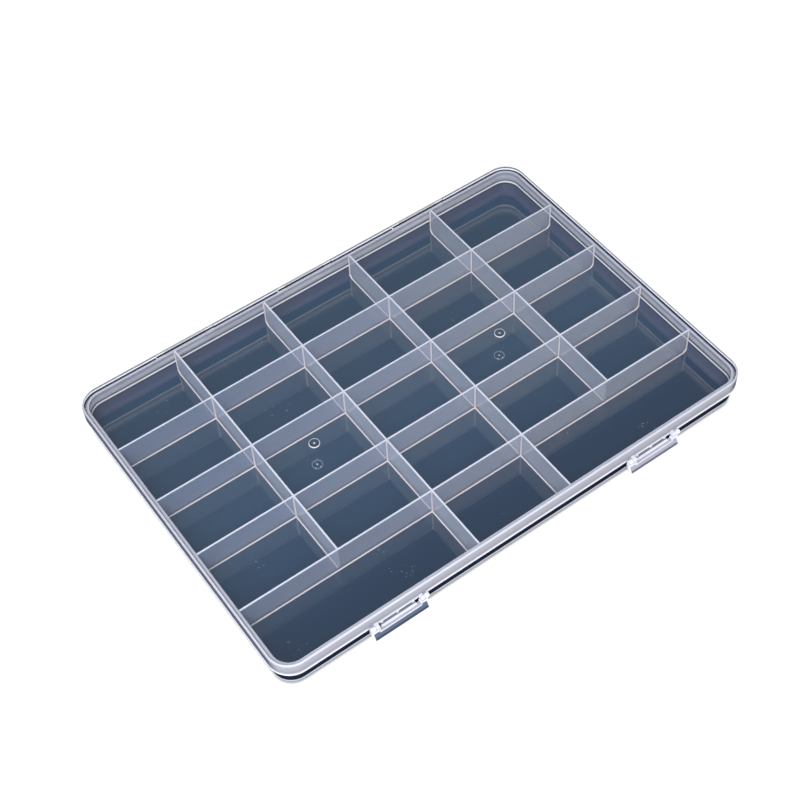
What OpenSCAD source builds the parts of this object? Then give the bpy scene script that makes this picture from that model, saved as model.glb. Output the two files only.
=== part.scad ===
// Flat clear bead organizer: one tray with 23 fixed compartments, one common
// hinged lid and two swing latches on the front edge.
//
// Frame: X runs along the long side, Y from the front (latches) to the back
// (hinges), Z up. The origin is the centre of the tray's underside.
//
// "Out" is a distance measured outward from the inside face of the tray wall,
// and "drop" is a distance measured down from the tray's rim.

/* [Tray] */
// Inside width between the left and right walls
inner_w = 259.2; // [220:0.1:320]
// Inside depth between the front and back walls
inner_d = 177.6; // [150:0.1:220]
// Depth of the compartments, from the floor to the rim
cell_depth = 16; // [14:0.5:40]
// Thickness of the floor
floor_t = 1.2; // [0.8:0.1:2]
// Thickness of the outer wall
wall_t = 1.2; // [0.8:0.1:2]
// Inside radius of the tray's corners, seen from above
corner_r = 8.5; // [5:0.5:14]
// Rounding of the tray's bottom edge
base_edge_r = 3; // [2.5:0.1:4]

/* [Dividers] */
// Thickness of a divider at its top edge
divider_top_t = 0.9; // [0.6:0.1:1.4]
// Thickness of a divider at its foot
divider_foot_t = 1.2; // [0.8:0.1:2]

/* [Lid] */
// Thickness of the lid's flat panel
panel_t = 1.5; // [1:0.1:2.5]
// Thickness of the lid's skirt
skirt_t = 1.4; // [1:0.1:2]
// Rounding of the lid's top edge
lid_edge_r = 0.9; // [0.3:0.1:1]
// Gap that keeps the closed lid clear of the rim, the dividers and the flange
lid_gap = 0.3; // [0.2:0.05:0.5]
// Gap between the tray wall and the inside of the skirt
skirt_gap = 0.4; // [0.35:0.05:0.8]

/* [Flange] */
// Drop from the rim to the top of the flange under the skirt
flange_drop = 5.5; // [5:0.1:7]
// Thickness of the flange
flange_t = 1.1; // [0.8:0.1:1.5]

/* [Hinges] */
// Distance between neighbouring hinges
hinge_pitch = 71; // [55:1:85]
// Width of the gap in the skirt and the flange at each hinge
hinge_zone_w = 33; // [26:1:40]
// Width of each hinge lug on the tray
hinge_lug_w = 4; // [3:0.5:6]
// Outer radius of the hinge barrels
hinge_barrel_r = 2; // [1.6:0.1:2.1]
// Radius of the moulded hinge pins
hinge_pin_r = 0.9; // [0.7:0.05:1.1]
// How far the hinge axis stands out
hinge_out = 3.9; // [3.8:0.1:4.5]
// Drop from the rim to the hinge axis
hinge_drop = 6.8; // [6.5:0.1:8]

/* [Latches] */
// Distance from the middle of the box to the middle of each latch
latch_x = 72.8; // [50:0.1:90]
// Width of a latch
latch_w = 30.8; // [30:0.2:36]
// Width of each ear of a latch
latch_ear_w = 2.1; // [1.6:0.1:2.6]
// Width of each lug that carries a latch
latch_lug_w = 1.8; // [1.4:0.1:2.2]
// Outer radius of a latch's ears and of its lugs
latch_ear_r = 1.2; // [1:0.05:1.25]
// Radius of the latch's moulded pins
latch_pin_r = 0.6; // [0.4:0.05:0.7]
// Distance from the skirt's outer face to the latch axis
latch_stand = 1.55; // [1.5:0.05:2]
// Drop from the rim to the latch axis
latch_drop = 5.4; // [5:0.1:6]
// Thickness of a latch's plate and of its finger tab
latch_t = 1.1; // [0.9:0.1:1.3]
// Width of the plate between its two slits
plate_w = 18.8; // [14:0.2:19.2]
// Gap between the skirt's face and the back of the plate
plate_gap = 0.5; // [0.3:0.05:0.8]
// Width of each slit beside the plate
slit_w = 1.4; // [0.8:0.1:1.6]
// How far the hook reaches in under the catch
hook_bite = 0.6; // [0.4:0.1:1]
// Height of the hook
hook_h = 1; // [0.6:0.1:1.2]
// Width of each rib of the tray's catch
catch_w = 1.1; // [0.8:0.1:2]
// Height of the catch's ribs below the flange
catch_h = 1.2; // [0.8:0.1:1.5]
// Distance between neighbouring ribs of the catch
catch_pitch = 8.4; // [6:0.1:8.6]
// Height of the raised ledge on the plate
ledge_h = 1.2; // [0.8:0.1:1.6]
// How far the raised ledge stands out from the plate
ledge_stand = 1; // [0.4:0.1:1.2]
// Width of the ledge's end posts
post_w = 0.5; // [0.4:0.1:1]
// Height of the plate from its top edge to the foot of the finger tab
plate_h = 1.1; // [0.8:0.1:1.6]
// Height of the flared finger tab
tab_h = 3.6; // [2:0.1:4]
// How far the finger tab flares out over that height
tab_flare = 2; // [0.5:0.1:2.5]
// How much narrower than the ears the tab's free edge is, on each side
tab_taper = 0.4; // [0:0.1:2]
// Rounding of the finger tab's corners
tab_corner_r = 1.4; // [0.5:0.1:2]

/* [Gate marks] */
// Distance from the middle of the box to each moulding gate mark
gate_x = 54.6; // [40:0.2:60]
// Outer radius of the ring of a gate mark
gate_ring_r = 2.8; // [1.2:0.1:3.6]
// Width of the ring, and radius of the pip in its centre
gate_line_w = 0.5; // [0.3:0.1:0.8]
// Height of a gate mark on the floor, and depth of one in the lid
gate_h = 0.2; // [0.1:0.05:0.4]

/* [Hidden] */
$fn = 64;

// Columns and rows of compartments
columns = 5;
rows = 5;

// Sides of the box, as quarter turns from +X
right = 0;
back = 1;
left = 2;
front = 3;

// Colours of the clear plastic, as it looks over a dark ground
floor_colour = [0.24, 0.30, 0.39];
wall_colour = [0.66, 0.68, 0.75];
divider_colour = [0.55, 0.58, 0.66];
lid_colour = [0.80, 0.83, 0.90, 0.35];
latch_colour = [0.72, 0.76, 0.84];

// Running clearance of a moulded pin in its bore
pin_fit = 0.06;
// Side clearance between a knuckle or latch ear and the lugs beside it
side_gap = 0.4;
// Overlap that joins a piece's own features, and length of a cut past a face
weld = 0.2;
past = 1;

half_w = inner_w / 2;
half_d = inner_d / 2;
rim_z = floor_t + cell_depth;
// Fillet inside the foot of the wall, concentric with the rounding outside it
foot_r = base_edge_r - wall_t;
panel_z = rim_z + lid_gap;
lid_top_z = panel_z + panel_t;
skirt_in = wall_t + skirt_gap;
lid_out = skirt_in + skirt_t;
flange_z = rim_z - flange_drop;
skirt_z = flange_z + lid_gap;
// Dividers stand so that all compartments have the same clear size
column_pitch = (inner_w + divider_top_t) / columns;
row_pitch = (inner_d + divider_top_t) / rows;
// Hinge
hinge_z = rim_z - hinge_drop;
lug_x = hinge_zone_w / 2 - side_gap - hinge_lug_w / 2;
knuckle_w = hinge_zone_w - 2 * (hinge_lug_w + 2 * side_gap);
// Latch, with its profile in (out, z)
latch_out = lid_out + latch_stand;
latch_z = rim_z - latch_drop;
ear_x = (latch_w - latch_ear_w) / 2;
latch_lug_x = latch_w / 2 - latch_ear_w - side_gap - latch_lug_w / 2;
arm_top_z = latch_z - latch_ear_r - side_gap;
catch_z = flange_z - flange_t - catch_h;
plate_top_z = catch_z - lid_gap;
plate_in = lid_out + plate_gap;
plate_out = plate_in + latch_t;
hook_in = lid_out - hook_bite;
tab_foot_z = plate_top_z - plate_h;
tab_z = tab_foot_z - tab_h;
ledge_z = plate_top_z - lid_gap;
slit_out_x = plate_w / 2 + slit_w;

// ---------------------------------------------------------------- helpers

// Rounded rectangle that lies a distance outside the tray's inner wall line
module outline(out) {
    hw = half_w + out;
    hd = half_d + out;
    r = corner_r + out;
    square([2 * (hw - r), 2 * hd], center = true);
    square([2 * hw, 2 * (hd - r)], center = true);
    for (sx = [-1, 1], sy = [-1, 1])
        translate([sx * (hw - r), sy * (hd - r)])
            circle(r);
}

// Plate that fills the outline from height z up
module plate(out, z, h) {
    translate([0, 0, z])
        linear_extrude(h)
            outline(out);
}

// Carries a profile in (out, z) along one straight side of the box
module run(side, lap = 0) {
    far = side % 2 == 0 ? half_w : half_d;
    length = 2 * ((side % 2 == 0 ? half_d : half_w) - corner_r + lap);
    rotate([0, 0, 90 * side])
        translate([far, 0, 0])
            rotate([90, 0, 0])
                linear_extrude(length, center = true)
                    children();
}

// Carries a profile in (out, z) round the four corners
module corners() {
    for (side = [right, left], sy = [-1, 1])
        rotate([0, 0, 90 * side])
            translate([half_w - corner_r, sy * (half_d - corner_r), 0])
                rotate([0, 0, sy > 0 ? 0 : -90])
                    rotate_extrude(angle = 90)
                        translate([corner_r, 0])
                            children();
}

// Carries a profile in (out, z) all round the box
module carried_round() {
    for (side = [right : front])
        run(side, 0.01)
            children();
    corners()
        children();
}

// What a rounding takes off an edge whose corner is at (out, z); up is 1 for
// a top edge and -1 for a bottom edge
module edge_waste(out, z, r, up) {
    difference() {
        translate([out - r, up > 0 ? z - r : z - past])
            square([r + past, r + past]);
        translate([out - r, z - up * r])
            circle(r);
        translate([out - 2 * r - past, z - r - past])
            square([r + past, 2 * (r + past)]);
        translate([out - r, up > 0 ? z - 2 * r - past : z + r])
            square([r + past, r + past]);
    }
}

// Extrudes a profile in (out, z) along X at the front or at the back wall
module front_bar(x, w) {
    translate([x, -half_d, 0])
        rotate([90, 0, -90])
            linear_extrude(w, center = true)
                children();
}

module back_bar(x, w) {
    translate([x, half_d, 0])
        rotate([90, 0, 90])
            linear_extrude(w, center = true)
                children();
}

// Gate mark: a ring with a pip in its centre
module gate_mark(h) {
    linear_extrude(h) {
        difference() {
            circle(gate_ring_r);
            circle(gate_ring_r - gate_line_w);
        }
        circle(gate_line_w);
    }
}

// ------------------------------------------------------------------- tray

// Flat floor inside the rounded foot of the wall, with two gate marks
module tray_floor() {
    color(floor_colour) {
        plate(-foot_r, 0, floor_t);
        for (sx = [-1, 1])
            translate([sx * gate_x, 0, floor_t])
                gate_mark(gate_h);
    }
}

// Outer wall with its rounded foot, as seen from its end
module wall_profile() {
    difference() {
        translate([-foot_r, 0])
            square([base_edge_r, rim_z]);
        edge_waste(wall_t, 0, base_edge_r, -1);
        translate([-foot_r, floor_t + foot_r])
            circle(foot_r);
        translate([-foot_r - past, floor_t + foot_r])
            square([foot_r + past, rim_z]);
    }
}

module tray_wall(side) {
    color(wall_colour)
        run(side)
            wall_profile();
}

module tray_wall_corners() {
    color(wall_colour)
        corners()
            wall_profile();
}

// Flange that the lid's skirt comes down on, open at each hinge
module flange_profile() {
    translate([wall_t, flange_z - flange_t])
        square([lid_out - wall_t, flange_t]);
}

module tray_flange(side) {
    color(wall_colour)
        cut_at_hinges()
            run(side)
                flange_profile();
}

module tray_flange_corners() {
    color(wall_colour)
        corners()
            flange_profile();
}

module cut_at_hinges() {
    difference() {
        children();
        for (i = [-1 : 1])
            translate([i * hinge_pitch, half_d + lid_out, 0])
                cube([hinge_zone_w, 2 * (lid_out - wall_t) + past, 2 * panel_z], center = true);
    }
}

// Catch for one latch: three ribs under the flange
module latch_catch(side) {
    color(wall_colour)
        for (i = [-1 : 1])
            front_bar(side * latch_x + i * catch_pitch, catch_w)
                translate([wall_t, catch_z])
                    square([lid_out - wall_t, catch_h]);
}

// Tapered divider of a given length along X, on the floor
module divider(len) {
    rotate([90, 0, 90])
        linear_extrude(len, center = true)
            polygon([
                [-divider_foot_t / 2, floor_t], [divider_foot_t / 2, floor_t],
                [divider_top_t / 2, rim_z], [-divider_top_t / 2, rim_z]
            ]);
}

// Row divider: runs the whole width of the tray; row 1 is nearest the back
function row_y(i) = (rows / 2 - i) * row_pitch;

module row_bar(i) {
    translate([0, row_y(i), 0])
        divider(inner_w);
}

module row_divider(i) {
    color(divider_colour)
        difference() {
            row_bar(i);
            tray_wall(left);
            tray_wall(right);
        }
}

// Column divider, cut where the row dividers cross it. The two in the middle
// reach the front wall, and the outer two stop at the last row divider.
function column_x(i) = (i - columns / 2) * column_pitch;

module column_divider(i) {
    full = i > 1 && i < columns - 1;
    front_y = full ? -half_d : row_y(rows - 1);
    color(divider_colour)
        difference() {
            translate([column_x(i), (half_d + front_y) / 2, 0])
                rotate([0, 0, 90])
                    divider(half_d - front_y);
            for (r = [1 : rows - 1])
                row_bar(r);
            tray_wall(back);
            tray_wall(front);
        }
}

// Two lugs on the back wall, bored for the pins of one hinge knuckle
module hinge_lugs(i) {
    color(wall_colour)
        for (sx = [-1, 1])
            back_bar(i * hinge_pitch + sx * lug_x, hinge_lug_w)
                difference() {
                    union() {
                        translate([hinge_out, hinge_z])
                            circle(hinge_barrel_r);
                        polygon([
                            [wall_t, hinge_z + hinge_barrel_r],
                            [hinge_out, hinge_z + hinge_barrel_r],
                            [hinge_out, hinge_z - hinge_barrel_r],
                            [wall_t, hinge_z - 2 * hinge_barrel_r]
                        ]);
                    }
                    translate([hinge_out, hinge_z])
                        circle(hinge_pin_r + pin_fit);
                }
}

// -------------------------------------------------------------------- lid

// Flat panel with a rounded top edge
module lid_panel() {
    color(lid_colour)
        difference() {
            plate(lid_out, panel_z, panel_t);
            carried_round()
                edge_waste(lid_out, lid_top_z, lid_edge_r, 1);
            for (sx = [-1, 1])
                translate([sx * gate_x, 0, lid_top_z - gate_h])
                    gate_mark(gate_h + past);
        }
}

// Skirt that hangs from the panel round the tray's rim, open at each hinge
module skirt_profile() {
    translate([skirt_in, skirt_z])
        square([skirt_t, panel_z - skirt_z]);
}

module lid_skirt(side) {
    color(lid_colour)
        cut_at_hinges()
            run(side)
                skirt_profile();
}

module lid_skirt_corners() {
    color(lid_colour)
        corners()
            skirt_profile();
}

// Knuckle that hangs from the panel, with a moulded pin at each end
module hinge_knuckle(i) {
    x = i * hinge_pitch;
    color(lid_colour) {
        back_bar(x, knuckle_w) {
            translate([hinge_out, hinge_z])
                circle(hinge_barrel_r);
            translate([skirt_in, hinge_z])
                square([skirt_t, panel_z - hinge_z]);
        }
        back_bar(x, 2 * lug_x + hinge_lug_w)
            translate([hinge_out, hinge_z])
                circle(hinge_pin_r);
    }
}

// Two lugs on the front of the skirt, bored for the pins of one latch
module latch_lugs(side) {
    color(lid_colour)
        for (sx = [-1, 1])
            front_bar(side * latch_x + sx * latch_lug_x, latch_lug_w)
                difference() {
                    union() {
                        latch_eye();
                        translate([lid_out, skirt_z])
                            square([latch_stand, latch_z + latch_ear_r - skirt_z]);
                    }
                    translate([latch_out, latch_z])
                        circle(latch_pin_r + pin_fit);
                }
}

// Round outline of the ears and the lugs
module latch_eye() {
    translate([latch_out, latch_z])
        circle(latch_ear_r);
}

// ---------------------------------------------------------------- latches

// Latch: two ears with moulded pins, a plate between two slits with a hook
// that catches under the tray's catch, a raised ledge and a flared finger tab
module latch(side) {
    x = side * latch_x;
    pin_end_x = latch_lug_x - latch_lug_w / 2;
    post_x = slit_out_x + post_w / 2;
    color(latch_colour) {
        for (sx = [-1, 1]) {
            front_bar(x + sx * ear_x, latch_ear_w)
                ear_profile();
            front_bar(x + sx * (pin_end_x + ear_x) / 2, ear_x - pin_end_x)
                translate([latch_out, latch_z])
                    circle(latch_pin_r);
            front_bar(x + sx * post_x, post_w)
                ledge_profile(arm_top_z);
        }
        front_bar(x, 2 * post_x + post_w)
            ledge_profile(ledge_z);
        front_bar(x, plate_w)
            hook_profile();
        intersection() {
            front_bar(x, latch_w)
                plate_profile();
            translate([x, -half_d, 0])
                rotate([90, 0, 0])
                    linear_extrude(plate_out + tab_flare + past)
                        plate_outline();
        }
    }
}

// Ear: an eye on the axis and an arm of the plate's own thickness below it
module ear_profile() {
    latch_eye();
    translate([plate_in, arm_top_z - weld])
        square([latch_t, latch_z - arm_top_z + weld]);
}

// Plate and finger tab, as seen from the side
module plate_profile() {
    polygon([
        [plate_in, arm_top_z], [plate_out, arm_top_z],
        [plate_out, tab_foot_z], [plate_out + tab_flare, tab_z],
        [plate_in + tab_flare, tab_z], [plate_in, tab_foot_z]
    ]);
}

// Plate, arms and finger tab, as seen from the front
module plate_outline() {
    w = latch_w / 2;
    corner_x = w - tab_taper - tab_corner_r;
    corner = [
        for (a = [0 : -15 : -90])
            [corner_x + tab_corner_r * cos(a), tab_z + tab_corner_r * (1 + sin(a))]
    ];
    half = concat([
        [plate_w / 2, plate_top_z], [plate_w / 2, ledge_z], [slit_out_x, ledge_z],
        [slit_out_x, arm_top_z], [w, arm_top_z]
    ], corner);
    polygon(concat(half, [for (i = [len(half) - 1 : -1 : 0]) [-half[i][0], half[i][1]]]));
}

// Hook with a lead-in below
module hook_profile() {
    hook_foot_z = plate_top_z - hook_h;
    polygon([
        [plate_in + weld, plate_top_z], [hook_in, plate_top_z],
        [hook_in, (plate_top_z + hook_foot_z) / 2], [plate_in, hook_foot_z],
        [plate_in + weld, hook_foot_z]
    ]);
}

// Raised ledge on the outer face, from its foot up to a given height
module ledge_profile(high_z) {
    low_z = ledge_z - ledge_h;
    translate([plate_out - weld, low_z])
        square([ledge_stand + weld, high_z - low_z]);
}

// ------------------------------------------------------------------ nodes

tray_floor();
tray_wall(front);  // tray_wall_front
tray_wall(back);  // tray_wall_back
tray_wall(left);  // tray_wall_left
tray_wall(right);  // tray_wall_right
tray_wall_corners();
tray_flange(front);  // tray_flange_front
tray_flange(back);  // tray_flange_back
tray_flange(left);  // tray_flange_left
tray_flange(right);  // tray_flange_right
tray_flange_corners();
latch_catch(-1);  // latch_catch_left
latch_catch(1);  // latch_catch_right
row_divider(1);  // row_divider_1
row_divider(2);  // row_divider_2
row_divider(3);  // row_divider_3
row_divider(4);  // row_divider_4
column_divider(1);  // column_divider_1
column_divider(2);  // column_divider_2
column_divider(3);  // column_divider_3
column_divider(4);  // column_divider_4
hinge_lugs(-1);  // hinge_lugs_left
hinge_lugs(0);  // hinge_lugs_middle
hinge_lugs(1);  // hinge_lugs_right
lid_panel();
lid_skirt(front);  // lid_skirt_front
lid_skirt(back);  // lid_skirt_back
lid_skirt(left);  // lid_skirt_left
lid_skirt(right);  // lid_skirt_right
lid_skirt_corners();
hinge_knuckle(-1);  // hinge_knuckle_left
hinge_knuckle(0);  // hinge_knuckle_middle
hinge_knuckle(1);  // hinge_knuckle_right
latch_lugs(-1);  // latch_lugs_left
latch_lugs(1);  // latch_lugs_right
latch(-1);  // latch_left
latch(1);  // latch_right
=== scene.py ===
"""Clear flat bead organizer: a tray with 23 compartments under one hinged lid, dressed for its photograph.

The box is moulded from natural polypropylene, which is clear with a little milk in it. It was
photographed over a dark ground, so its floor and the lower part of its wall look like dark slate.
Lengths are in metres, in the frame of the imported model, except along a ramp, where they are in
millimetres.
"""
import math

import bmesh
import bpy
import numpy as np
from mathutils import Matrix, Vector


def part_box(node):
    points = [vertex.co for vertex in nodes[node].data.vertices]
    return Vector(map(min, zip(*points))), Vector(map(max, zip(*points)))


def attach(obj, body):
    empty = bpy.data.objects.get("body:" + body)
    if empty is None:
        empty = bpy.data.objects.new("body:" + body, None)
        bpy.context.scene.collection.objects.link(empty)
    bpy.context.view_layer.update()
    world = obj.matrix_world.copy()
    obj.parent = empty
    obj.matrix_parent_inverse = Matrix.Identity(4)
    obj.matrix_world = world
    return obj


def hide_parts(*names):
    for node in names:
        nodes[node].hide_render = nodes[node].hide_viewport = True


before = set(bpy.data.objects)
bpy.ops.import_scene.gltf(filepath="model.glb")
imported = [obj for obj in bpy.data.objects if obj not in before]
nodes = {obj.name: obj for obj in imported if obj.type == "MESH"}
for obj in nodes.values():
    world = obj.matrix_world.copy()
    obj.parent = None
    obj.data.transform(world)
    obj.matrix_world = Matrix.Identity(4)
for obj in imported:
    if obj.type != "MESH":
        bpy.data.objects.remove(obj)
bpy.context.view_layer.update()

MM = 0.001
PHOTO_SIZE = 800  # width and height of the photograph, in pixels
UP = (0, 0, 1)
SIDES = ("front", "back", "left", "right", "corners")


# ------------------------------------------------------------ nodes and colours

def linear(tone):
    """A tone as the linear colour that Blender works in, with alpha 1. The tone is an sRGB hex code or, for
    an even grey, a plain number that is linear already."""
    if not isinstance(tone, str):
        return (tone, tone, tone, 1.0)
    srgb = np.array([int(tone[i:i + 2], 16) for i in (0, 2, 4)]) / 255
    value = np.where(srgb <= 0.04045, srgb / 12.92, ((srgb + 0.055) / 1.055) ** 2.4)
    return (*value.tolist(), 1.0)


def add(tree, kind, inputs=None, stops=None, **settings):
    """Adds a node. Inputs are given by name or number, as a value, a hex code, or the socket that feeds
    them; stops are the places and tones of a ramp. In a Map Range, inputs 0 to 4 are the value, the span it
    comes from and the span it goes to; in a Mix of colours, 0, 6 and 7 are the share and the two colours."""
    node = tree.nodes.new(kind)
    for name, value in settings.items():
        setattr(node, name, value)
    if stops:
        row = node.color_ramp.elements
        while len(row) > 1:
            row.remove(row[-1])
        row[0].position, row[0].color = stops[0][0], linear(stops[0][1])
        for place, tone in stops[1:]:
            row.new(place).color = linear(tone)
    for key, value in (inputs or {}).items():
        if isinstance(value, bpy.types.NodeSocket):
            tree.links.new(value, node.inputs[key])
        else:
            node.inputs[key].default_value = linear(value) if isinstance(value, str) else value
    return node


def blank(name):
    """A new material without nodes, and its node tree."""
    material = bpy.data.materials.new(name)
    material.use_nodes = True
    material.node_tree.nodes.clear()
    return material, material.node_tree


# ------------------------------------------------------------ the photograph's camera and light

def aim_camera():
    """Camera found from the grid of divider crossings: place, view direction and focal length in pixels."""
    focal_px = 1524.48
    place = Vector((-0.24371, -0.37227, 0.59529))
    look = Vector((0.32553, 0.50919, -0.79672)).normalized()
    right = Vector((0.81214, -0.58208, -0.04018)).normalized()
    up = right.cross(look)
    data = bpy.data.cameras.new("photo_camera")
    data.sensor_width = 36
    data.lens = focal_px * data.sensor_width / PHOTO_SIZE
    data.clip_start = 0.02
    data.clip_end = 20
    camera = bpy.data.objects.new("photo_camera", data)
    bpy.context.scene.collection.objects.link(camera)
    axes = Matrix((right, up, -look)).transposed()
    camera.matrix_world = Matrix.Translation(place) @ axes.to_4x4()
    bpy.context.scene.camera = camera


def light_scene():
    """Soft studio light. The sky is white round the horizon and dim overhead, where the floor of the tray
    would mirror it, and the lamps stand out of that path: the main one above and behind the camera, so that
    its shadows hide behind the dividers, cool ones to the left and in front, and a weak warm one to the
    right. A lamp is its name, place, size in metres, power in watts and colour."""
    world = bpy.data.worlds.new("studio")
    world.use_nodes = True
    bpy.context.scene.world = world
    tree = world.node_tree
    tree.nodes.clear()
    toward = add(tree, "ShaderNodeTexCoord")
    height = add(tree, "ShaderNodeSeparateXYZ", {0: toward.outputs["Generated"]})
    sky = add(tree, "ShaderNodeValToRGB", {0: height.outputs["Z"]}, [
        (0.0, 1.0), (0.12, 1.0), (0.35, 0.55), (0.5, 0.09), (1.0, 0.07)])
    shade = add(tree, "ShaderNodeBackground", {"Color": sky.outputs["Color"], "Strength": 1.0})
    add(tree, "ShaderNodeOutputWorld", {"Surface": shade.outputs[0]})
    for name, place, size, power, colour in (
            ("main_lamp", (-0.6, -0.95, 1.45), 0.6, 20.0, "f8f9ff"),
            ("left_lamp", (-1.15, -0.25, 1.0), 0.9, 10.0, "f0f4ff"),
            ("front_lamp", (-0.1, -1.3, 0.95), 0.9, 2.0, "f8f9ff"),
            ("right_lamp", (0.95, -0.7, 1.1), 0.8, 4.0, "fff6ee")):
        data = bpy.data.lights.new(name, "AREA")
        data.size = size
        data.energy = power
        data.color = linear(colour)[:3]
        lamp = bpy.data.objects.new(name, data)
        lamp.location = place
        lamp.rotation_euler = (-Vector(place)).to_track_quat("-Z", "Y").to_euler()
        bpy.context.scene.collection.objects.link(lamp)
    bpy.context.scene.view_settings.view_transform = "Standard"


def lay_ground():
    """White table top. It is as bright as the page to the eye and in gloss, and keeps a faint shadow, which
    is deep only in the last 2 mm before the box's foot."""
    half, drop, shadow_reach = 4.0, 0.02 * MM, 2.2 * MM
    corners = [(-half, -half, -drop), (half, -half, -drop), (half, half, -drop), (-half, half, -drop)]
    mesh = bpy.data.meshes.new("ground")
    mesh.from_pydata(corners, [], [(0, 1, 2, 3)])
    ground = bpy.data.objects.new("ground", mesh)
    bpy.context.scene.collection.objects.link(ground)
    material, tree = blank("white_table")
    path = add(tree, "ShaderNodeLightPath")
    seen = add(tree, "ShaderNodeMath", {0: path.outputs["Is Camera Ray"], 1: path.outputs["Is Glossy Ray"]},
               operation="MAXIMUM")
    seen = add(tree, "ShaderNodeMath", {0: seen.outputs[0], 1: path.outputs["Is Transmission Ray"]},
               operation="MAXIMUM")
    matt = add(tree, "ShaderNodeBsdfDiffuse", {"Color": linear(0.8)})
    shadowed = add(tree, "ShaderNodeBsdfDiffuse", {"Color": linear(0.25)})
    near = add(tree, "ShaderNodeAmbientOcclusion", {"Distance": shadow_reach}, samples=8)
    # the page's own light goes from 0.1 where the box stands to 0.85 in the open
    open_sky = add(tree, "ShaderNodeMapRange", {0: near.outputs["AO"], 1: 0.4, 2: 0.8, 3: 0.1, 4: 0.85})
    glow = add(tree, "ShaderNodeEmission", {"Color": linear(1.0), "Strength": open_sky.outputs[0]})
    page = add(tree, "ShaderNodeAddShader", {0: shadowed.outputs[0], 1: glow.outputs[0]})
    mixed = add(tree, "ShaderNodeMixShader", {0: seen.outputs[0], 1: matt.outputs[0], 2: page.outputs[0]})
    add(tree, "ShaderNodeOutputMaterial", {"Surface": mixed.outputs[0]})
    mesh.materials.append(material)


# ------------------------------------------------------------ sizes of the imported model

lid_low, lid_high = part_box("lid_panel")
flange_low, flange_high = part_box("tray_flange_front")
rim_low, rim_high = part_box("tray_wall_front")
wall_t = 1.2 * MM
skirt_t = 1.4 * MM
divider_half_t = 0.6 * MM  # at the foot
corner_r = 8.5 * MM  # inner face of the wall, at the box's corners
base_edge_r = 3 * MM
foot_r = base_edge_r - wall_t
lid_edge_r = 0.9 * MM
lip_r = 0.12 * MM  # eased edges of the rim, the flange and the skirt's foot
half_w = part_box("tray_wall_right")[1].x - wall_t
half_d = -rim_low.y - wall_t
lid_out = lid_high.x - half_w  # outer face of the lid and the flange, outward from the wall's inner face
skirt_in = lid_out - skirt_t
lid_top = lid_high.z
panel_z = lid_low.z
skirt_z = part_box("lid_skirt_front")[0].z
rim_z = rim_high.z
floor_z = 1.2 * MM
hinge_x = (71 * MM, 0.0, -71 * MM)
hinge_zone = 33 * MM
gate_x = 54.6 * MM
gate_r = 2.55 * MM
gate_depth = 0.2 * MM


def compartments():
    """Left, right, front and back limits of the 23 compartments, on the dividers' middle lines and on the
    wall's foot: five columns by five rows, with the outer pairs of the front row run together."""
    row_y = sorted(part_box(f"row_divider_{i}")[0].y + divider_half_t for i in range(1, 5))
    column_x = sorted(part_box(f"column_divider_{i}")[0].x + divider_half_t for i in range(1, 5))
    x = [-half_w + foot_r - divider_half_t, *column_x, half_w - foot_r + divider_half_t]
    y = [-half_d + foot_r - divider_half_t, *row_y, half_d - foot_r + divider_half_t]
    front_row = [(a, b, y[0], y[1]) for a, b in ((x[0], x[2]), (x[2], x[3]), (x[3], x[5]))]
    return front_row + [(x[i], x[i + 1], y[j], y[j + 1]) for j in range(1, 5) for i in range(5)]


# ------------------------------------------------------------ surfaces worked out with numpy

def stations(steps=13):
    """Stations anticlockwise round the inner face of the wall: each one's place, its outward normal, and
    whether it lies in a hinge's gap of the back side. On a corner's arc, place = centre + radius * normal, in
    steps of a quarter turn / 12. Both ends of a gap have two stations in one place, so that the profile
    steps there."""
    turn = np.linspace(0, np.pi / 2, steps)
    places, normals, opened = [], [], []
    for quarter, (sx, sy) in enumerate(((1, 1), (-1, 1), (-1, -1), (1, -1))):
        angle = turn + quarter * np.pi / 2
        normal = np.stack([np.cos(angle), np.sin(angle)], 1)
        centre = np.array([sx * (half_w - corner_r), sy * (half_d - corner_r)])
        places.append(centre + corner_r * normal)
        normals.append(normal)
        opened.append(np.zeros(steps))
        if quarter == 0:
            ends = np.array([(x + hinge_zone / 2, x - hinge_zone / 2) for x in hinge_x])
            x = np.repeat(ends.ravel(), 2)
            places.append(np.stack([x, np.full(len(x), half_d)], 1))
            normals.append(np.tile([0.0, 1.0], (len(x), 1)))
            opened.append(np.tile([0, 1, 1, 0], len(ends)))
    return np.concatenate(places), np.concatenate(normals), np.concatenate(opened) == 1


def carry(places, normals, profile):
    """Carries a profile round a path: point(s, v) = place(s) + out(v) * normal(s), at height z(v). The
    profile is (s, v, 2)."""
    flat = places[:, None] + profile[..., :1] * normals[:, None]
    return np.concatenate([flat, profile[..., 1:]], 2)


def skin(grid, round_v):
    """Quads between neighbours of a grid that is closed along its path, and round its profile as well
    where round_v is true. Returns corners (n, 4) and each quad's place v in the profile."""
    s, v = grid.shape[:2]
    i, j = np.meshgrid(np.arange(s), np.arange(v if round_v else v - 1), indexing="ij")
    i, j = i.ravel(), j.ravel()
    near, far = i * v, (i + 1) % s * v
    return np.stack([near + j, far + j, far + (j + 1) % v, near + (j + 1) % v], 1), j


def kinds_of(place, parts, kinds):
    """Number of each quad's finish, by the part of the profile that it starts in. The last of the kinds is
    for the quads that close a profile."""
    ends = np.cumsum([len(part) for part in parts]) - 1
    return np.take(kinds, np.searchsorted(ends, place, side="right")).tolist()


def arc(centre_out, centre_z, radius, start, end, steps):
    """Points (out, z) on an arc: centre + radius * (cos a, sin a), with a from start to end in degrees."""
    a = np.radians(np.linspace(start, end, steps))
    return np.stack([centre_out + radius * np.cos(a), centre_z + radius * np.sin(a)], 1)


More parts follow.
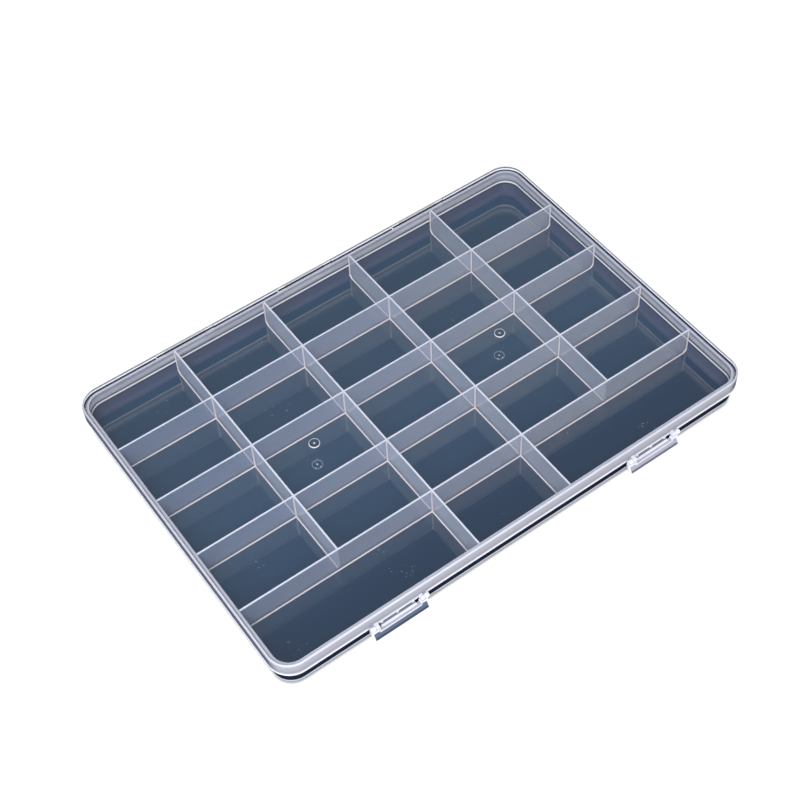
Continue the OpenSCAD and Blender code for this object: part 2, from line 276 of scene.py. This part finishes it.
def make_piece(name, points, faces, body, slot, finishes, kinds=None):
    """Puts arrays into a mesh, merges doubled points, turns its faces outward and gives it its finishes.
    Edges over 35 degrees stay sharp, and faces of more than four corners are flat caps."""
    mesh = bpy.data.meshes.new(name)
    mesh.from_pydata(points.reshape(-1, 3).tolist(), [], faces)
    for finish in finishes:
        mesh.materials.append(finish)
    if kinds:
        mesh.polygons.foreach_set("material_index", np.array(kinds, np.int32))
    work = bmesh.new()
    work.from_mesh(mesh)
    bmesh.ops.remove_doubles(work, verts=work.verts, dist=0.001 * MM)
    bmesh.ops.recalc_face_normals(work, faces=work.faces)
    work.to_mesh(mesh)
    work.free()
    corners = np.zeros(len(mesh.polygons), np.int32)
    mesh.polygons.foreach_get("loop_total", corners)
    mesh.polygons.foreach_set("use_smooth", corners <= 4)
    mesh.set_sharp_from_angle(angle=math.radians(35))
    piece = bpy.data.objects.new(name, mesh)
    bpy.context.scene.collection.objects.link(piece)
    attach(piece, body)
    return piece


def build_lid(flat, edge, outside, inside):
    """Lid in one skin: flat top, rounded edge, skirt down to the flange, and the flat underside. In a
    hinge's gap the skirt's points rise to the underside, which opens it there."""
    foot_z = flange_high.z + 0.05 * MM
    ease = 0.3 * MM  # between the skirt's back and the underside
    parts = [arc(lid_out - lid_edge_r, lid_top - lid_edge_r, lid_edge_r, 90, 0, 9),
             np.stack([np.full(5, lid_out), np.linspace(lid_top - lid_edge_r, foot_z + lip_r, 6)[1:]], 1),
             arc(lid_out - lip_r, foot_z + lip_r, lip_r, 0, -90, 5)[1:],
             arc(skirt_in + lip_r, foot_z + lip_r, lip_r, -90, -180, 5),
             np.array([[skirt_in, panel_z - ease], [skirt_in - ease, panel_z]])]
    places, normals, opened = stations()
    rows = np.tile(np.concatenate(parts), (len(places), 1, 1))
    rows[opened, :, 1] = np.maximum(rows[opened, :, 1], panel_z)
    grid = carry(places, normals, rows)
    faces, place = skin(grid, round_v=False)
    s, v = grid.shape[:2]
    caps = [np.arange(s) * v, (np.arange(s) * v + v - 1)[::-1]]
    finishes = [flat, edge, outside, inside]
    kinds = kinds_of(place, parts, [1, 2, 2, 3, 0]) + [0, 0]  # places in that list; the two caps are flat
    piece = make_piece("lid_shell", grid, faces.tolist() + [cap.tolist() for cap in caps], "lid",
                       "clear_lid", finishes, kinds)
    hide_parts("lid_panel", *(f"lid_skirt_{side}" for side in SIDES))


def build_skirt_painted_reflection(mirrored):
    """Thin band inside the skirt, against its outer face, painted with a reflection: what the clear edge
    mirrors inward, the dark ground and above it the sky. In a hinge's gap it lies flat inside the panel
    instead."""
    def strip(far, near, low, high):
        """Profile of a flat strip, from the foot of its outer side round to that of its inner side."""
        return np.array([[far, low], [far, high], [near, high], [near, low]])

    band = strip(lid_out - 0.08 * MM, lid_out - 0.2 * MM, skirt_z + 2.4 * MM, panel_z + 0.4 * MM)
    shelf = strip(lid_out - 0.9 * MM, skirt_in - 0.6 * MM, panel_z + 0.1 * MM, panel_z + 0.2 * MM)
    places, normals, opened = stations()
    grid = carry(places, normals, np.where(opened[:, None, None], shelf, band))
    faces, _ = skin(grid, round_v=True)
    make_piece("skirt_painted_reflection", grid, faces.tolist(), "lid", "clear_lid", [mirrored])


def build_tray_wall(outside, rim, inside, flange):
    """Wall and flange in one skin: rounded base, outer face, flange, outer face, rim, inner face and the
    fillet at its foot. In a hinge's gap the flange's points draw back to the wall."""
    top, foot = flange_high.z, flange_low.z
    parts = [arc(-foot_r, base_edge_r, base_edge_r, -90, 0, 9),
             np.stack([np.full(4, wall_t), np.linspace(base_edge_r, foot, 5)[1:]], 1),
             np.array([[lid_out - lip_r, foot], [lid_out, foot + lip_r], [lid_out, top - lip_r],
                       [lid_out - lip_r, top], [wall_t, top]]),
             np.array([[wall_t, rim_z - lip_r]]),
             np.concatenate([arc(wall_t - lip_r, rim_z - lip_r, lip_r, 0, 90, 4)[1:],
                             arc(lip_r, rim_z - lip_r, lip_r, 90, 180, 4)]),
             np.stack([np.zeros(5), np.linspace(rim_z - lip_r, base_edge_r, 6)[1:]], 1),
             arc(-foot_r, base_edge_r, foot_r, 0, -90, 7)[1:]]
    places, normals, opened = stations()
    rows = np.tile(np.concatenate(parts), (len(places), 1, 1))
    rows[opened, :, 0] = np.minimum(rows[opened, :, 0], wall_t)
    grid = carry(places, normals, rows)
    faces, place = skin(grid, round_v=True)
    finishes = [outside, rim, inside, flange]
    piece = make_piece("tray_shell", grid, faces.tolist(), "tray", "clear_wall", finishes,
                       kinds_of(place, parts, [0, 0, 3, 0, 1, 2, 2, 0]))
    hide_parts(*(f"tray_{part}_{side}" for part in ("wall", "flange") for side in SIDES))


def build_fillets(white):
    """Rounded feet and corners of the dividers. Each is a concave quarter arc of radius r between two faces
    at right angles, (u, v) = r - r * (cos a, sin a), closed behind and run straight from a start to an end:
    along the floor at a compartment's right and back, the sides that show in the photograph, and up the
    corner between them, where a divider meets another or the wall. A run is its start, its end and the
    directions of u and v."""
    r, sink = 0.45 * MM, 0.12 * MM
    lean = 0.15 * MM  # how much further apart the dividers' faces are at the top
    top, slant = rim_z - 0.3 * MM, math.sqrt(0.5)
    beside_wall = 2 * MM
    turn = np.radians(np.linspace(0, 90, 5))
    hollow = r - r * np.stack([np.cos(turn), np.sin(turn)], 1)
    profile = np.concatenate([hollow, [[r, -sink], [-sink, -sink], [-sink, r]]])
    leftward, forward = (-1, 0, 0), (0, -1, 0)
    runs = []
    for left, right, front, back in compartments():
        at_right, at_back = right > half_w - beside_wall, back > half_d - beside_wall
        x0, x1 = left + divider_half_t, right - divider_half_t
        y0, y1 = front + divider_half_t, back - divider_half_t
        if not at_right:
            runs.append(((x1, y0, floor_z), (x1, y1, floor_z), leftward, UP))
        if not at_back:
            runs.append(((x0, y1, floor_z), (x1, y1, floor_z), forward, UP))
        if not at_right and not at_back:
            runs.append(((x1, y1, floor_z), (x1 + lean, y1 + lean, top), leftward, forward))
        elif not at_back:
            bend = (half_w, y1, base_edge_r)
            runs.append((bend, (half_w, y1 + lean, top), leftward, forward))
            runs.append(((half_w - foot_r, y1, floor_z), bend, (-slant, 0, slant), forward))
        elif not at_right:
            bend = (x1, half_d, base_edge_r)
            runs.append((bend, (x1 + lean, half_d, top), leftward, forward))
            runs.append(((x1, half_d - foot_r, floor_z), bend, leftward, (0, -slant, slant)))
    starts, ends, across, aside = (np.array([run[i] for run in runs]) for i in range(4))
    ring = profile[None, :, :1] * across[:, None] + profile[None, :, 1:] * aside[:, None]
    points = np.stack([starts[:, None] + ring, ends[:, None] + ring], 1)
    count = len(profile)
    j = np.arange(count)
    side_faces = np.stack([j, (j + 1) % count, (j + 1) % count + count, j + count], 1)
    first = 2 * count * np.arange(len(runs))
    quads = (side_faces[None] + first[:, None, None]).reshape(-1, 4)
    caps = np.stack([first[:, None] + j[::-1], first[:, None] + count + j], 1).reshape(-1, count)
    make_piece("divider_fillets", points, quads.tolist() + caps.tolist(), "tray", "milky_divider", [white])


def round_marks(marks):
    """Low beads round circles, and domes. A mark is (centre, radius, low, high, widths): a bead's width goes
    from its first value on the side away from the camera to its second on the near side, and a dome, whose
    radius is 0, is as wide as the first value."""
    steps = 40
    away = [0.54, 0.84]  # from the camera, in the plane of the table
    angle = np.linspace(0, 2 * np.pi, steps, endpoint=False)
    normal = np.stack([np.cos(angle), np.sin(angle)], 1)
    nearness = 0.5 - 0.5 * normal @ away
    points, faces, count = [], [], 0
    for centre, radius, low, high, (first, second) in marks:
        if radius:
            width = first + (second - first) * nearness ** 2
            out = width[:, None] * [0.5, 0.3, -0.3, -0.5]
            z = np.tile([low, high, high, low], (steps, 1))
        else:
            out = np.tile(np.array([0.05, 0.7, 1.0]) * first / 2, (steps, 1))
            z = np.tile([high, 0.8 * high + 0.2 * low, low], (steps, 1))
        grid = carry(radius * normal, normal, np.stack([out, z], 2)) + [*centre, 0]
        quads, _ = skin(grid, round_v=bool(radius))
        faces += (quads + count).tolist()
        if not radius:
            ring = count + np.arange(steps) * out.shape[1]
            faces += [ring.tolist(), (ring + out.shape[1] - 1)[::-1].tolist()]
        points.append(grid.reshape(-1, 3))
        count += len(points[-1])
    return np.concatenate(points), faces


def build_gate_marks(bright, dark):
    """Marks of the moulding gates: in the lid a ring that is broad and bright on its near side, a painted
    highlight, a dark crescent of painted reflection inside it and a pip, and on the floor a pip with two
    dots. The pips are 0.9 mm wide."""
    low, high, pip_widths = lid_top - gate_depth, lid_top - 0.02 * MM, (0.9 * MM, 0)
    ring_widths, shade_widths = (0.12 * MM, 0.8 * MM), (0.05 * MM, 0.9 * MM)
    shade_r, shade_dx, shade_dy = gate_r - 0.75 * MM, -0.1 * MM, -0.15 * MM
    dot_top = floor_z + 0.28 * MM
    rings, shades, dots = [], [], []
    for x in (-gate_x, gate_x):
        rings += [((x, 0), gate_r, low, high, ring_widths), ((x, 0), 0, low, high, pip_widths)]
        shades.append(((x + shade_dx, shade_dy), shade_r, low, high, shade_widths))
        for dx, dy, width in ((0, 0, 0.9), (-1.8, -1.3, 0.7), (0.6, -2.1, 0.7)):
            dots.append(((x + dx * MM, dy * MM), 0, floor_z, dot_top, (width * MM, 0)))
    make_piece("lid_gate_marks", *round_marks(rings), "lid", "clear_lid", [bright])
    make_piece("lid_gate_shades", *round_marks(shades), "lid", "clear_lid", [dark])
    make_piece("floor_gate_dots", *round_marks(dots), "tray", "smoke_floor", [bright])


# ------------------------------------------------------------ finishes

LID_HEIGHTS = (11, 19)  # spans of the ramps over the height, in millimetres
TRAY_HEIGHTS = (0, 18)


def moulded(material, inputs):
    """Ends a finish: natural polypropylene, IOR 1.49, moulded in a polished tool."""
    shader = add(material.node_tree, "ShaderNodeBsdfPrincipled", {"IOR": 1.49, **inputs})
    add(material.node_tree, "ShaderNodeOutputMaterial", {"Surface": shader.outputs[0]})
    return material


def ramp_over(tree, direction, span, stops):
    """Ramp over the object's own place: its distance along a direction, over a span in millimetres, as the
    stops are."""
    start, stop = span
    place = add(tree, "ShaderNodeTexCoord")
    along = add(tree, "ShaderNodeVectorMath", {0: place.outputs["Object"], 1: direction},
                operation="DOT_PRODUCT")
    share = add(tree, "ShaderNodeMapRange", {0: along.outputs["Value"], 1: start * MM, 2: stop * MM})
    ramp = add(tree, "ShaderNodeValToRGB", {0: share.outputs[0]},
               [((mm - start) / (stop - start), tone) for mm, tone in stops])
    return ramp.outputs[0]


def smoke_floor():
    """Mirror-smooth floor. Over the dark ground it looks like slate, and it shows the dividers upside down.
    Up to a third of its tone is a painted glow of its own, so that no wall's shadow takes it away. Fine
    specks and scuffs, under 1 mm, lie on it in drifts of about 20 mm."""
    material, tree = blank("polypropylene_polished_floor_over_dark_ground")
    ground = ramp_over(tree, (0, 1, 0), (-89, 89), [
        (-71, "0a2238"), (-35, "253c50"), (0, "304659"), (35, "2c4153"), (71, "273c4d")])
    place = add(tree, "ShaderNodeTexCoord").outputs["Object"]
    drift = add(tree, "ShaderNodeTexNoise", {"Vector": place, "Scale": 45.0, "Detail": 2.0})
    speck = add(tree, "ShaderNodeTexVoronoi", {"Vector": place, "Scale": 520.0})
    reach = add(tree, "ShaderNodeMapRange", {0: drift.outputs[0], 1: 0.55, 2: 0.72, 3: 0.0, 4: 0.22})
    inside = add(tree, "ShaderNodeMath", {0: reach.outputs[0], 1: speck.outputs["Distance"]},
                 operation="SUBTRACT")
    specks = add(tree, "ShaderNodeMapRange", {0: inside.outputs[0], 1: 0.0, 2: 0.1, 3: 0.0, 4: 0.55})
    gate_ring_highlight = ramp_over(tree, UP, (0, 2), [(1.22, 0.0), (1.3, 0.3)])  # painted highlight on the ring, which stands proud of the floor
    # real specks and scuffs, together with the painted highlight of the gate ring
    pale = add(tree, "ShaderNodeMath", {0: specks.outputs[0], 1: gate_ring_highlight}, operation="MAXIMUM")
    colour = add(tree, "ShaderNodeMix", {0: pale.outputs[0], 6: ground, 7: "c4cbd9"}, data_type="RGBA")
    # painted glow: the emission gives the floor a slate light of its own
    return moulded(material, {
        "Base Color": colour.outputs[2], "Roughness": 0.08, "IOR": 2.2, "Specular IOR Level": 0.6,
        "Specular Tint": "ffe9cc", "Emission Color": "28496a", "Emission Strength": 0.35})


def milky_divider(name, along, tone_stops_with_painted_light, opacity):
    """Thin rib that light fills from edge to edge: milky faces, a little paler at their foot, which is
    painted light, and a white top edge, a painted highlight. The tones are pairs of a distance in the
    direction along, in millimetres, and a colour; their change along the rib is painted light and shade."""
    material, tree = blank(name)
    # painted light and shade: the milky tone changes along the rib
    tone_with_painted_light = ramp_over(tree, along, (-130, 130), tone_stops_with_painted_light)
    # painted light: the faces are a little paler toward the foot
    foot = ramp_over(tree, UP, TRAY_HEIGHTS, [(1.2, 0.3), (6, 0.15), (16, 0.0)])
    face = add(tree, "ShaderNodeMix", {0: foot, 6: tone_with_painted_light, 7: "f6f6fc"}, data_type="RGBA")
    place = add(tree, "ShaderNodeTexCoord")
    split = add(tree, "ShaderNodeSeparateXYZ", {0: place.outputs["Normal"]})
    level = add(tree, "ShaderNodeMath", {0: split.outputs["Z"]}, operation="ABSOLUTE")
    # painted highlight: faces that look up, along the top edge, are near white and nearly opaque
    edge = add(tree, "ShaderNodeMapRange", {0: level.outputs[0], 1: 0.5, 2: 0.9})
    colour = add(tree, "ShaderNodeMix", {0: edge.outputs[0], 6: face.outputs[2], 7: "e9edfa"},
                 data_type="RGBA")
    alpha = add(tree, "ShaderNodeMapRange", {0: level.outputs[0], 1: 0.5, 2: 0.9, 3: opacity, 4: 0.95})
    return moulded(material, {"Base Color": colour.outputs[2], "Roughness": 0.25, "Alpha": alpha.outputs[0]})


def lid_flat():
    """Polished panel: next to nothing seen square on, and a pale sheen at a glancing view by Schlick's rule,
    where gloss grows as the fifth power of one minus the cosine."""
    material, tree = blank("polypropylene_polished_lid_panel")
    slant = add(tree, "ShaderNodeLayerWeight", {"Blend": 0.5})
    rise = add(tree, "ShaderNodeMath", {0: slant.outputs["Facing"], 1: 5.0}, operation="POWER")
    alpha = add(tree, "ShaderNodeMath", {0: rise.outputs[0], 1: 0.85, 2: 0.012}, operation="MULTIPLY_ADD")
    return moulded(material, {"Base Color": "e4e6f0", "Roughness": 0.12, "Alpha": alpha.outputs[0]})


def lid_edge():
    """Rounded edge of the lid: white with light where it is seen square on, and darker toward its outline,
    where a clear edge bends the view down to the ground."""
    material, tree = blank("polypropylene_rounded_lid_edge")
    slant = add(tree, "ShaderNodeLayerWeight", {"Blend": 0.5})
    colour = add(tree, "ShaderNodeValToRGB", {0: slant.outputs["Facing"]}, [
        (0.07, "e6e8f0"), (0.3, "ccd0dc"), (0.5, "b8bcca"), (0.66, "9ca0ae"), (0.86, "747a8a"),
        (1.0, "505666")])
    return moulded(material, {"Base Color": colour.outputs[0], "Roughness": 0.25, "Specular IOR Level": 0.1,
                              "Alpha": 0.85})


def skirt_outside():
    """Face of the skirt: lilac with a white foot, which is a painted highlight, and darker at a glancing
    view, a painted reflection of the ground.
    The stage is white, so this face has no gloss of its own."""
    material, tree = blank("polypropylene_lid_skirt_face")
    # painted highlight: the white foot, from 11.5 to 12.2 mm
    bands = ramp_over(tree, UP, LID_HEIGHTS, [
        (11.5, "dcdde4"), (12.2, "d8d9e0"), (12.9, "b0b1ba"), (13.5, "a0a1ac"), (15.0, "b2b3bc"),
        (17.4, "b6b7c0"), (18.1, "b4b6c0")])
    slant = add(tree, "ShaderNodeLayerWeight", {"Blend": 0.5})
    glance = add(tree, "ShaderNodeMapRange", {0: slant.outputs["Facing"], 1: 0.62, 2: 0.82})
    upper = ramp_over(tree, UP, LID_HEIGHTS, [(12.0, 0.0), (13.4, 1.0)])
    # painted reflection of the ground: dark grey at a glancing view, above the foot
    dark = add(tree, "ShaderNodeMath", {0: glance.outputs[0], 1: upper}, operation="MULTIPLY")
    colour = add(tree, "ShaderNodeMix", {0: dark.outputs[0], 6: bands, 7: "5c6070"}, data_type="RGBA")
    return moulded(material, {"Base Color": colour.outputs[2], "Roughness": 0.2, "Specular IOR Level": 0.0,
                              "Alpha": 0.92})


def skirt_inside():
    """Back of the skirt: a pale veil that clears at the top, where the view passes to the mirrored ground."""
    material, tree = blank("polypropylene_lid_skirt_back")
    veil = ramp_over(tree, UP, LID_HEIGHTS, [(16.5, 0.35), (17.0, 0.04)])
    return moulded(material, {"Base Color": "c8ccda", "Roughness": 0.2, "Specular IOR Level": 0.1,
                              "Alpha": veil})


def mirrored_ground():
    """Painted reflection of what the skirt's outer face mirrors inward: navy ground, and above it the sky,
    whose light the clear edge gathers, painted as a glow."""
    material, tree = blank("polypropylene_edge_with_ground_and_sky")
    bands = ramp_over(tree, UP, LID_HEIGHTS, [
        (14.4, "a0a4b2"), (14.9, "1c2436"), (16.3, "1c2436"), (16.8, "f4f5fb"), (17.55, "f4f5fb"),
        (17.58, "1c2436")])
    # painted glow: the bands give off light of their own
    return moulded(material, {"Base Color": bands, "Roughness": 0.2, "Specular IOR Level": 0.1,
                              "Emission Color": bands, "Emission Strength": 0.35, "Alpha": 0.95})


def wall_outside():
    """Outer face of the tray wall: milky above the flange, and below it clear, with the dark ground behind
    and a line of light round the top of the rounded base."""
    material, tree = blank("polypropylene_wall_over_dark_ground")
    colour = ramp_over(tree, UP, TRAY_HEIGHTS, [
        (0.0, "8a8e9a"), (1.6, "b4b8c4"), (2.2, "d8dce6"), (3.0, "d8dce6"), (3.5, "2a3144"),
        (4.4, "1c2434"), (10.2, "232c42"), (11.0, "d2d6e4"), (14.0, "e2e5f0"), (15.0, "f4f6fc")])
    alpha = ramp_over(tree, UP, TRAY_HEIGHTS, [(10.4, 0.97), (11.2, 0.55), (14.0, 0.6), (15.0, 0.88)])
    return moulded(material, {"Base Color": colour, "Roughness": 0.3, "Specular IOR Level": 0.0,
                              "Alpha": alpha})


def wall_inside():
    """Inner face of the tray wall: slate like the floor up to the flange, which shows as a line of light, and
    above that a pale band between two darker ones."""
    material, tree = blank("polypropylene_wall_inner_face")
    colour = ramp_over(tree, UP, TRAY_HEIGHTS, [
        (1.2, "4a566c"), (3.0, "5a657c"), (8.2, "58647c"), (8.7, "424e64"), (9.5, "424e64"),
        (9.8, "ffffff"), (10.7, "ffffff"), (11.2, "7c8498"), (12.1, "7c8498"), (13.6, "d0d4e0"),
        (14.6, "ccd0dc"), (16.2, "7c8498"), (17.0, "8c94a8")])
    alpha = ramp_over(tree, UP, TRAY_HEIGHTS, [(1.2, 0.96), (10.7, 0.96), (11.2, 0.5), (17.0, 0.5)])
    return moulded(material, {"Base Color": colour, "Roughness": 0.3, "Specular IOR Level": 0.0,
                              "Alpha": alpha})


def latch_plastic(name, middle, tab, tab_edge):
    """Clear latch, worked out from where each face lies: a finger tab inside a white border, a white ledge
    with a lilac top, a grey slot behind the plate and white ears. The tab's tone is painted shade and the
    dark ground seen through it, the white is painted light that fills the clear plastic, and the grey slot is
    painted shade. Its middle is in millimetres."""
    material, tree = blank(name)
    white, lilac, slot = "f4f5fb", "b8bac8", "868c9a"
    # painted light and shade: the white bands are light in the clear plastic, the tab's tones are shade and
    # the dark ground seen through it
    bands = ramp_over(tree, UP, (4, 14), [
        (5.2, tab_edge), (5.7, tab), (7.5, tab), (7.58, white), (8.7, white),
        (8.76, lilac), (8.9, lilac), (8.96, white), (10.2, white), (10.8, "c8ccd8"), (11.4, white)])
    inner_half, outer_half = 14.0, 14.4
    border = ramp_over(tree, (1, 0, 0), (middle - 16, middle + 16), [
        (middle - outer_half, 1.0), (middle - inner_half, 0.0), (middle + inner_half, 0.0),
        (middle + outer_half, 1.0)])
    # painted shade: the slot behind the plate is grey
    behind = ramp_over(tree, (0, -1, 0), (88, 98), [(92.25, 1.0), (92.35, 0.0)])
    colour = add(tree, "ShaderNodeMix", {0: border, 6: bands, 7: white}, data_type="RGBA")
    colour = add(tree, "ShaderNodeMix", {0: behind, 6: colour.outputs[2], 7: slot}, data_type="RGBA")
    return moulded(material, {"Base Color": colour.outputs[2], "Roughness": 0.25, "Specular IOR Level": 0.2,
                              "Alpha": 0.92})


def even(name, colour, opacity, roughness=0.2):
    """One even tone, for faces too narrow to show more of the plastic than that."""
    material, _ = blank(name)
    return moulded(material, {"Base Color": colour, "Alpha": opacity, "Roughness": roughness})


def dress(finish, *names):
    """Gives CAD nodes a finish in place of the one they came with."""
    for name in names:
        slots = nodes[name].data.materials
        slots.clear()
        slots.append(finish)


# ------------------------------------------------------------ the object

aim_camera()
light_scene()
lay_ground()
bpy.context.scene.cycles.transparent_max_bounces = 32  # a low view passes many clear walls

wall_rim = even("polypropylene_wall_rim", "d4d8e6", 0.85, 0.25)  # painted light: the clear rim shows as a soft, cool white line round the tray
flange_face = even("polypropylene_flange_face", "f6f7fd", 0.95)  # near white, filled with light
divider_fillet = even("polypropylene_divider_fillet", "fff4f2", 0.7, 0.3)  # painted light: a warm white line gathers in the fillet
gate_mark = even("polypropylene_gate_mark", "fbfcff", 0.8)  # the raised bead catches the light
gate_shade = even("polypropylene_gate_shade", "0c1420", 0.9)  # the hollow beside it mirrors the ground
lug_plastic = even("polypropylene_lug", "f0f2fa", 0.85)  # thick little ribs, white with light
hinge_plastic = even("polypropylene_hinge", "c4c8d6", 0.3)  # a faint grey shape through the lid

build_lid(lid_flat(), lid_edge(), skirt_outside(), skirt_inside())
build_skirt_painted_reflection(mirrored_ground())
build_gate_marks(gate_mark, gate_shade)
build_fillets(divider_fillet)
build_tray_wall(wall_outside(), wall_rim, wall_inside(), flange_face)

dress(smoke_floor(), "tray_floor")
# rows and columns are one plastic; their different tones, and the change of tone along them, are painted
# light and shade
dress(milky_divider("polypropylene_milky_row", (0.93, -0.37, 0), [
    (-100, "b8c8e6"), (0, "dde6fc"), (60, "e8f0fe"), (120, "e4ecfa")], 0.26),
      *(f"row_divider_{i}" for i in range(1, 5)))
dress(milky_divider("polypropylene_milky_column", (1, 0, 0), [
    (-78, "dbe7f8"), (-26, "d9e4f4"), (26, "ccd7e7"), (78, "c1cddb")], 0.4),
      *(f"column_divider_{i}" for i in range(1, 5)))
# both latches are one clear plastic; their tabs' tones differ only by painted shade and the dark ground seen
# through them
dress(latch_plastic("polypropylene_latch_left", -72.8, "5a6980", "38445c"), "latch_left")
dress(latch_plastic("polypropylene_latch_right", 72.8, "acadbb", "62667a"), "latch_right")
dress(lug_plastic, "latch_lugs_left", "latch_lugs_right", "latch_catch_left", "latch_catch_right")
dress(hinge_plastic, *(f"hinge_{part}_{place}" for part in ("lugs", "knuckle")
                       for place in ("left", "middle", "right")))
